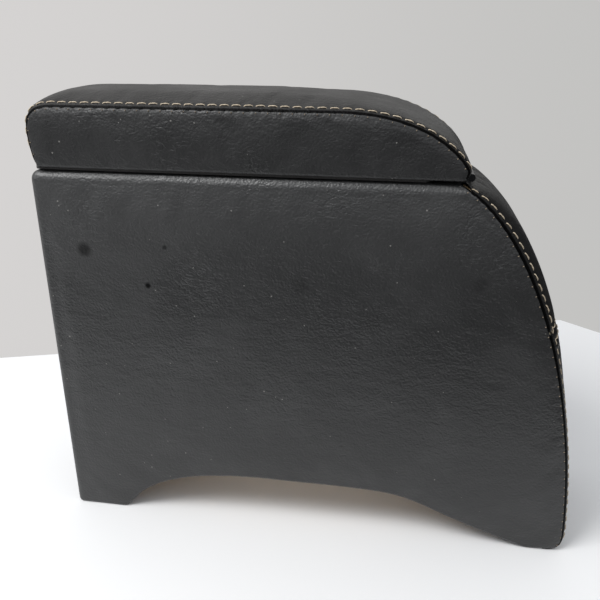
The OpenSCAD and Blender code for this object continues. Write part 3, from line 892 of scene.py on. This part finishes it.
def grain_group():
    """Pebbled leatherette: fine pores, short creases in patches, and slow waves."""
    b, source, result = shader_group(
        "Leatherette grain",
        [("Vector", VECTOR, None), ("Pore size", FLOAT, 1.25), ("Crease size", FLOAT, 3.8),
         ("Creasing", FLOAT, 1.0)], ["Height", "Patches"])
    vector = source.outputs["Vector"]
    warp = b.noise(vector, 90.0, 2.0).node
    bent = b.add("ShaderNodeVectorMath", operation="MULTIPLY_ADD")
    b.join(warp.outputs["Color"], bent.inputs[0])
    bent.inputs[1].default_value = (0.004, 0.004, 0.004)
    b.join(vector, bent.inputs[2])
    pores = b.voronoi(bent.outputs[0], b.math("DIVIDE", 1000.0, source.outputs["Pore size"]),
                      "SMOOTH_F1")
    flat = b.stretch(bent.outputs[0], (0.75, 0.75, 1.5), (0, 0.35, 0))
    lines = b.voronoi(flat, b.math("DIVIDE", 1000.0, source.outputs["Crease size"]),
                      "DISTANCE_TO_EDGE")
    patches = b.ramp(b.noise(vector, 22.0, 3.0, 0.6), 0.45, 0.68)
    broken = b.ramp(b.noise(vector, 260.0, 2.0), 0.34, 0.60)
    thin = b.ramp(lines, 0.0, 0.20, 1.0, 0.0)
    creases = b.math("MULTIPLY", b.math("MULTIPLY", thin, broken),
                     b.math("MULTIPLY_ADD", patches, 0.8, 0.2))
    creases = b.math("MULTIPLY", creases, source.outputs["Creasing"])
    waves = b.noise(b.stretch(vector, (1.0, 1.0, 1.7), (0, 0.5, 0)), 70.0, 3.0, 0.55)
    height = b.math("MULTIPLY", pores, -0.50)
    height = b.math("MULTIPLY_ADD", creases, -0.32, height)
    height = b.math("MULTIPLY_ADD", waves, 1.2, height)
    b.join(height, result.inputs["Height"])
    b.join(patches, result.inputs["Patches"])
    return b.tree


def dust_group():
    """Specks of dust and lint, and faint rubbed patches."""
    b, source, result = shader_group(
        "Dust and rubbing",
        [("Vector", VECTOR, None), ("Speck spacing", FLOAT, 6.0), ("Share", FLOAT, 0.35)],
        ["Specks", "Rubbed"])
    vector = source.outputs["Vector"]
    spots = b.voronoi(vector, b.math("DIVIDE", 1000.0, source.outputs["Speck spacing"]))
    size = b.math("MULTIPLY", b.noise(vector, 400.0, 1.0), 0.13)
    near = b.math("LESS_THAN", spots, size)
    pick = b.add("ShaderNodeSeparateColor")
    b.join(spots.node.outputs["Color"], pick.inputs[0])
    chosen = b.math("LESS_THAN", pick.outputs[0], source.outputs["Share"])
    b.join(b.math("MULTIPLY", near, chosen), result.inputs["Specks"])
    rubbed = b.ramp(b.noise(vector, 14.0, 4.0, 0.62), 0.42, 0.75)
    b.join(rubbed, result.inputs["Rubbed"])
    return b.tree


def new_material(name, rough=0.5):
    material = bpy.data.materials.new(name)
    material.use_nodes = True
    b = Bench(material.node_tree)
    shader = material.node_tree.nodes["Principled BSDF"]
    shader.inputs["Roughness"].default_value = rough
    return material, b, shader, b.add("ShaderNodeTexCoord").outputs["Object"]


def use_group(b, group, **values):
    node = b.add("ShaderNodeGroup")
    node.node_tree = group
    for title, value in values.items():
        b.put(value, node.inputs[title.replace("_", " ")])
    return node


def leatherette(name, dark, light, rough, gloss, ditch, spots=(), bump=0.8):
    """Black leatherette. ditch is the width of the seam's shade in mm, spots are marks."""
    material, b, shader, vector = new_material(name)
    place = b.add("ShaderNodeSeparateXYZ")
    b.join(vector, place.inputs[0])
    creasing = b.ramp(place.outputs[2], 0.10, 0.21, 0.2, 1.0)
    skin = use_group(b, GRAIN, Vector=vector, Creasing=creasing)
    worn = use_group(b, DUST, Vector=vector)
    tone = b.math("MULTIPLY_ADD", worn.outputs["Rubbed"], 0.22,
                  b.math("MULTIPLY", skin.outputs["Patches"], 0.12))
    colour = b.mix(tone, (*dark, 1), (*light, 1))
    # Painted sheen: from 0.15 m up the colour is mixed towards the light colour, so the upper
    # covers look lit from above
    colour = b.mix(b.ramp(place.outputs[2], 0.15, 0.235, 0.0, 0.7), colour, (*light, 1))
    left = b.math("LESS_THAN", place.outputs[1], 0.0)
    marked = 0.0
    for x, z, size, strength in spots:
        dx = b.math("SUBTRACT", place.outputs[0], x * MM + FRONT)
        dz = b.math("SUBTRACT", place.outputs[2], z * MM)
        gap = b.math("SQRT", b.math("ADD", b.math("MULTIPLY", dx, dx),
                                    b.math("MULTIPLY", dz, dz)))
        mark = b.math("MULTIPLY", b.ramp(gap, size * 0.3 * MM, size * MM, strength, 0.0), left)
        marked = b.math("MAXIMUM", mark, marked)
    colour = b.mix(marked, colour, (0.003, 0.003, 0.003, 1))
    colour = b.mix(b.math("MULTIPLY", worn.outputs["Specks"], 0.5), colour,
                   (0.32, 0.31, 0.29, 1))
    seam = b.add("ShaderNodeAttribute", attribute_name="seam")
    shade = b.ramp(seam.outputs["Fac"], ditch * 0.4, ditch, 1.0, 0.0)
    b.join(b.mix(shade, colour, (0.001, 0.001, 0.001, 1)), shader.inputs["Base Color"])
    b.join(b.math("MULTIPLY_ADD", b.math("MAXIMUM", shade, marked), -0.9 * gloss, gloss),
           shader.inputs["Specular IOR Level"])
    matt = b.math("MULTIPLY_ADD", skin.outputs["Patches"], -0.05, rough)
    matt = b.math("MULTIPLY_ADD", worn.outputs["Rubbed"], 0.10, matt)
    matt = b.math("MULTIPLY_ADD", worn.outputs["Specks"], 0.3, matt)
    b.join(matt, shader.inputs["Roughness"])
    b.bump(skin.outputs["Height"], bump, 0.0006, shader)
    return material


def thread_material(name, dark, light):
    material, b, shader, vector = new_material(name, 0.7)
    fibres = b.noise(vector, 2600.0, 2.0)
    fade = b.noise(vector, 60.0, 2.0)
    share = b.math("MULTIPLY_ADD", fibres, 0.6, b.math("MULTIPLY", fade, 0.4))
    b.paint(shader, share, dark, light)
    b.bump(fibres, 0.4, 0.0002, shader)
    return material


def plywood_material():
    material, b, shader, vector = new_material("birch_plywood", 0.65)
    fibres = b.noise(b.stretch(vector, (18, 260, 260)), 1.0, 6.0, 0.6, 0.4)
    layers = b.add("ShaderNodeTexWave", wave_type="BANDS", bands_direction="Z")
    b.join(vector, layers.inputs["Vector"])
    layers.inputs["Scale"].default_value = 110.0
    layers.inputs["Distortion"].default_value = 1.0
    colour = b.mix(fibres, (0.40, 0.25, 0.12, 1), (0.74, 0.58, 0.38, 1))
    colour = b.mix(b.math("MULTIPLY", layers.outputs["Fac"], 0.25), colour,
                   (0.30, 0.18, 0.09, 1))
    b.join(colour, shader.inputs["Base Color"])
    b.bump(fibres, 0.25, 0.0004, shader)
    return material


def felt_material():
    material, b, shader, vector = new_material("black_felt", 0.95)
    hairs = b.noise(vector, 1500.0, 5.0, 0.7, 1.5)
    clumps = b.noise(vector, 120.0, 3.0, 0.6)
    share = b.math("MULTIPLY_ADD", hairs, 0.7, b.math("MULTIPLY", clumps, 0.3))
    b.paint(shader, share, (0.008, 0.008, 0.009), (0.055, 0.055, 0.060))
    shader.inputs["Sheen Weight"].default_value = 0.3
    b.bump(share, 0.7, 0.0008, shader)
    return material


def foam_material():
    material, b, shader, vector = new_material("cream_foam", 0.9)
    cells = b.voronoi(vector, 900.0)
    b.paint(shader, cells, (0.66, 0.60, 0.44), (0.44, 0.38, 0.26))
    b.bump(cells, 0.6, 0.0006, shader)
    return material


def steel_material():
    material, b, shader, vector = new_material("blackened_steel")
    cloud = b.noise(vector, 220.0, 3.0, 0.6)
    rolled = b.noise(b.stretch(vector, (900, 40, 900)), 1.0, 3.0)
    b.paint(shader, cloud, (0.020, 0.021, 0.023), (0.055, 0.055, 0.058))
    shader.inputs["Metallic"].default_value = 0.8
    b.join(b.math("MULTIPLY_ADD", rolled, 0.22, 0.22), shader.inputs["Roughness"])
    b.bump(rolled, 0.15, 0.0002, shader)
    return material


def hardboard_material():
    material, b, shader, vector = new_material("black_hardboard")
    screen = b.voronoi(vector, 700.0, randomness=0.3)
    cloud = b.noise(vector, 35.0, 3.0, 0.6)
    b.paint(shader, cloud, (0.012, 0.011, 0.011), (0.035, 0.032, 0.030))
    b.join(b.math("MULTIPLY_ADD", cloud, 0.2, 0.5), shader.inputs["Roughness"])
    b.bump(screen, 0.3, 0.0003, shader)
    return material


GRAIN = grain_group()
DUST = dust_group()
# Marks on the left side: x, z and size in millimetres, and strength
MARKS = [(29.3, 189.2, 6.0, 0.65), (66.9, 168.5, 2.6, 1.0), (79.1, 193.0, 2.0, 0.6),
         (158.7, 174.1, 7.0, 0.2), (259.5, 180.2, 6.0, 0.2)]
# The side's light colour is also its painted sheen along the upper side
SIDE_SKIN = leatherette(
    "side_leatherette", dark=(0.0095, 0.0097, 0.0098),
    light=(0.046, 0.0463, 0.0465), rough=0.42, gloss=0.66, ditch=0.9, spots=MARKS)
LID_SIDE_SKIN = leatherette(
    "lid_side_leatherette", dark=(0.0090, 0.0091, 0.0093),
    light=(0.016, 0.0162, 0.0164), rough=0.46, gloss=0.6, ditch=0.9, bump=0.65)
STRIP_SKIN = leatherette(
    "strip_leatherette", dark=(0.008, 0.0078, 0.0076),
    light=(0.012, 0.0117, 0.0114), rough=0.46, gloss=0.45, ditch=1.5)
THREAD = thread_material("beige_thread", (0.36, 0.28, 0.19), (0.70, 0.61, 0.47))
# The side rows' thread is the beige thread painted darker: painted shade where the stitches
# sink into the seam
SHADED_THREAD = thread_material("painted_shade_thread", (0.12, 0.09, 0.06), (0.32, 0.26, 0.19))
CAD_FINISHES = {
    "plywood": plywood_material(), "foam": foam_material(), "felt": felt_material(),
    "steel": steel_material(), "fibreboard": hardboard_material(), "leatherette": SIDE_SKIN,
}
for part in frame["record"]["subparts"]:
    for place in frame["nodes"][part["node"]].material_slots:
        place.material = CAD_FINISHES[part["material_slot"]]

# Covers
wrap = make_body_wrap()
upper_line, lower_line = split_rear()
corner_x = np.interp(-RAIL_TOP, -REAR_LINE[:, 1], REAR_LINE[:, 0])
# The upper strip's hem lies on the rail, then spreads over the end of the wrap
upper_hem = [(x, RAIL_TOP + SKIN, BOX_HALF_W - 0.1)
             for x in (RAIL_X, RAIL_X + 12, corner_x - 5)]
upper_hem += [(corner_x - 3.6, BODY_H + 0.45, HALF_W - TOP_ROLL_R - 1),
              (corner_x - 1.4, BODY_H + 0.3, STRIP_HALF_W - 2)]
upper = make_rear_strip("rear_cover_upper_strip", upper_line, upper_hem)
lower = make_rear_strip("rear_cover_lower_strip", lower_line)
lid_left = make_lid_side("lid_side_cover_left")
lid_right = mirror_to_right(lid_left, "lid_side_cover_right")
lid_strip = make_lid_strip()
for cover, skin, body, node in (
        (wrap, SIDE_SKIN, "box", "body_cover"),
        (upper, STRIP_SKIN, "box", "rear_cover_upper"),
        (lower, STRIP_SKIN, "box", "rear_cover_lower"),
        (lid_left, LID_SIDE_SKIN, "lid", "lid_cover_left"),
        (lid_right, LID_SIDE_SKIN, "lid", "lid_cover_right"),
        (lid_strip, STRIP_SKIN, "lid", "lid_cover_top")):
    cover.data.materials.clear()
    cover.data.materials.append(skin)
    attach(cover, body)
    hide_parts(node)

# Stitch rows


def strip_rows(surface, line, lift):
    """Rows near both edges of a strip, moved onto its finished surface."""
    h = lift(line[:, 0], line[:, 1], STITCH_IN, 1 - STITCH_IN / STRIP_HALF_W)
    place = line + h[:, None] * left_of(line)
    return [on_surface(surface, place[:, 0], side * (STRIP_HALF_W - STITCH_IN), place[:, 1])
            for side in (-1, 1)]


def cross_row(surface, z):
    """A row across the rear, at a height beside the cross seam."""
    x = np.interp(-z, -REAR_LINE[:, 1], REAR_LINE[:, 0]) + 6
    ys = np.linspace(-(STRIP_HALF_W - 5), STRIP_HALF_W - 5, 30)
    return on_surface(surface, x, ys, z)


def side_row(surface, line, side):
    place = line - DOT_IN * left_of(line)
    return on_surface(surface, place[:, 0], side * (HALF_W - 0.3), place[:, 1])


SHAPE = thread_stitch()
ROW = stitch_tree()
lid_seam = even_line(LID_SEAM_LINE[LID_SEAM_LINE[:, 1] > LID_Z + 7])
rear_seam = even_line(REAR_LINE[(REAR_LINE[:, 1] < 233) & (REAR_LINE[:, 1] > 4)])
upper_seam, lower_seam = even_line(upper_line[2:]), even_line(lower_line[lower_line[:, 1] > 3])
on_upper, on_lower = surface_of(upper), surface_of(lower)
on_wrap = surface_of(wrap)
lid_stitches = sew("lid_topstitching", strip_rows(surface_of(lid_strip), lid_seam, lid_lift),
                   THREAD, slant=0.10, uneven=0.05)
rear_stitches = sew("rear_topstitching",
                    strip_rows(on_upper, upper_seam, rear_lift)
                    + strip_rows(on_lower, lower_seam, rear_lift)
                    + [cross_row(on_upper, CROSS_SEAM_Z + CROSS_ROW_IN),
                       cross_row(on_lower, CROSS_SEAM_Z - CROSS_ROW_IN)],
                    THREAD, slant=0.10, uneven=0.05)
lid_dots = sew("lid_side_stitches",
               [side_row(surface_of(lid_left), lid_seam, -1),
                side_row(surface_of(lid_right), lid_seam, 1)],
               SHADED_THREAD, slant=0.0, uneven=0.1, length=DOT_LENGTH)
side_dots = sew("side_stitches",
                [side_row(on_wrap, rear_seam, -1), side_row(on_wrap, rear_seam, 1)],
                SHADED_THREAD, slant=0.0, uneven=0.1, length=DOT_LENGTH)
for obj, body in ((lid_stitches, "lid"), (lid_dots, "lid"), (rear_stitches, "box"),
                  (side_dots, "box")):
    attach(obj, body)
bpy.data.objects.remove(SHAPE)

# Table, light and wall
ROOM_LOW, ROOM_HIGH = (0.20, 0.20, 0.21, 1), (0.95, 0.97, 1.0, 1)
DIM_LOW, DIM_HIGH = (0.06, 0.06, 0.062, 1), (1.05, 1.07, 1.10, 1)
WALL_LEFT, WALL_RIGHT = (0.670, 0.655, 0.648, 1), (0.545, 0.542, 0.532, 1)
DARK_END = (0.04, 0.04, 0.04, 1)


def add_table():
    """A white table top whose far edge runs behind the armrest, as in the photograph."""
    corner = table_point(*TABLE_CORNER_PX)
    back = (table_point(*TABLE_FAR_PX) - corner).normalized()
    away = (table_point(*TABLE_SIDE_PX) - corner).normalized()
    far_left = corner + back * TABLE_LONG
    near_right = corner + away * TABLE_DEEP
    outline = [far_left, far_left + (near_right - corner), near_right, corner]
    points = [(p.x, p.y, 0) for p in outline] + [(p.x, p.y, -TABLE_THICK) for p in outline]
    faces = [(0, 1, 2, 3), (7, 6, 5, 4)] + [(k, k + 4, (k + 1) % 4 + 4, (k + 1) % 4)
                                            for k in range(4)]
    mesh = bpy.data.meshes.new("table")
    mesh.from_pydata(points, [], faces)
    table = new_object("table", mesh)
    material, b, shader, vector = new_material("white_table", 0.6)
    cloud = b.noise(vector, 3.0, 2.0)
    b.paint(shader, cloud, (0.90, 0.90, 0.90), (0.93, 0.93, 0.93))
    table.data.materials.append(material)


def add_world():
    world = bpy.data.worlds.new("room")
    bpy.context.scene.world = world
    world.use_nodes = True
    b = Bench(world.node_tree)
    toward = b.add("ShaderNodeSeparateXYZ")
    b.join(b.add("ShaderNodeTexCoord").outputs["Generated"], toward.inputs[0])
    # The ceiling is lighter than the floor, and the room behind the camera is dim
    above = b.ramp(toward.outputs[2], -0.3, 0.9)
    ambient = world.node_tree.nodes["Background"]
    b.join(b.mix(above, ROOM_LOW, ROOM_HIGH), ambient.inputs[0])
    ambient.inputs[1].default_value = 0.80
    wall = b.add("ShaderNodeBackground")
    behind = b.ramp(toward.outputs[1], -0.35, 0.15)
    dim = b.mix(above, DIM_LOW, DIM_HIGH)
    path = b.add("ShaderNodeLightPath")
    # Reflections find the room dark at its right end
    dark = b.ramp(b.math("MULTIPLY_ADD", toward.outputs[1], -0.33, toward.outputs[0]),
                  -0.02, 0.10)
    # Painted shade on the wall: lighter on the left, darker towards the right
    pale = b.mix(b.ramp(toward.outputs[0], -0.65, 0.35), WALL_LEFT, WALL_RIGHT)
    mirrored = b.mix(behind, dim, b.mix(dark, pale, DARK_END))
    b.join(b.mix(path.outputs["Is Glossy Ray"], pale, mirrored), wall.inputs[0])
    seen = b.math("MAXIMUM", path.outputs["Is Camera Ray"],
                  b.math("MAXIMUM", path.outputs["Is Glossy Ray"],
                         path.outputs["Is Transmission Ray"]))
    choose = b.add("ShaderNodeMixShader")
    b.join(seen, choose.inputs[0])
    b.join(ambient.outputs[0], choose.inputs[1])
    b.join(wall.outputs[0], choose.inputs[2])
    b.join(choose.outputs[0], world.node_tree.nodes["World Output"].inputs[0])


def add_lamp():
    data = bpy.data.lights.new("ceiling_lamp", "AREA")
    data.shape = "RECTANGLE"
    data.size = data.size_y = LAMP_SIZE
    data.energy = LAMP_POWER
    turn = (LAMP_TARGET - LAMP_AT).to_track_quat("-Z", "Y").to_matrix().to_4x4()
    new_object("ceiling_lamp", data).matrix_world = Matrix.Translation(LAMP_AT) @ turn


add_camera()
add_world()
add_table()
add_lamp()
bpy.context.scene.view_settings.view_transform = "Standard"
